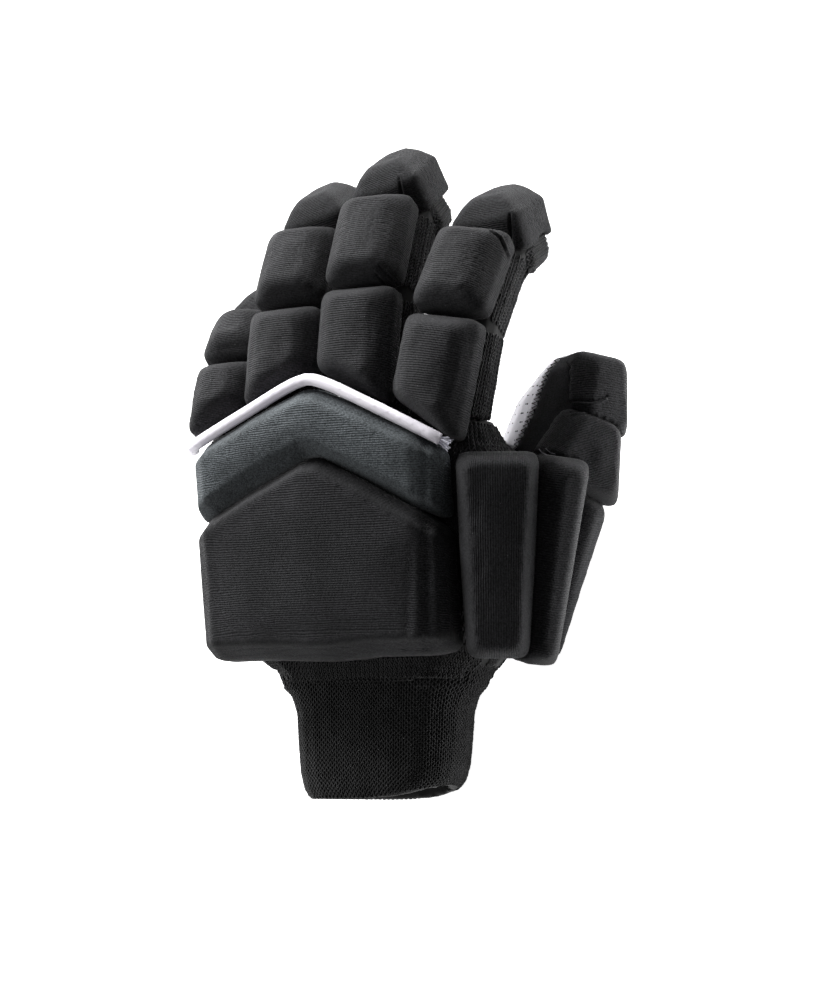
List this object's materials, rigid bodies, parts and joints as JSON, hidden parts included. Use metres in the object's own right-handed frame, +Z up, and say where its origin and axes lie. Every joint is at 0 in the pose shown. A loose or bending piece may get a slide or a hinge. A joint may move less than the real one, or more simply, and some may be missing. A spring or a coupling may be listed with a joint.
{
  "type": "indoor hockey glove",
  "caption": "Left-hand indoor hockey glove, padded on the back, with segmented finger pads, a knuckle band, a wrist block, side and thumb pads, a leather palm and a knit cuff",
  "frame": {"origin": "under the middle of the glove's bounding box, on the surface it lies on", "axes": "+X from the little finger to the thumb, +Y from the wrist to the fingertips, +Z up through the padded back of the hand"},
  "size_m": [0.1644, 0.2502, 0.0759],
  "materials": {
    "black_cloth": "matte",
    "grey_cloth": "matte",
    "black_knit": "matte",
    "black_panel": "satin",
    "white_leather": "satin",
    "white_piping": "satin"
  },
  "bodies": {
    "root": {"palm_leather": "white_leather", "back_liner": "black_knit", "little_leather": "white_leather", "little_gusset": "black_knit", "little_base_pad": "black_cloth", "little_middle_pad": "black_cloth", "little_tip_pad": "black_cloth", "ring_leather": "white_leather", "ring_gusset": "black_knit", "ring_base_pad": "black_cloth", "ring_middle_pad": "black_cloth", "ring_tip_pad": "black_cloth", "middle_leather": "white_leather", "middle_gusset": "black_knit", "middle_base_pad": "black_cloth", "middle_middle_pad": "black_cloth", "middle_tip_pad": "black_cloth", "index_leather": "white_leather", "index_gusset": "black_knit", "index_base_pad": "black_cloth", "index_middle_pad": "black_cloth", "index_tip_pad": "black_cloth", "thumb_leather": "white_leather", "thumb_panel": "black_panel", "knuckle_band": "grey_cloth", "wrist_block": "black_cloth", "knuckle_piping": "white_piping", "side_pad_front": "black_cloth", "side_pad_rear": "black_cloth", "thumb_base_pad": "black_cloth", "thumb_middle_pad": "black_cloth", "thumb_tip_pad": "black_cloth", "knit_cuff": "black_knit"}
  },
  "joints": []
}
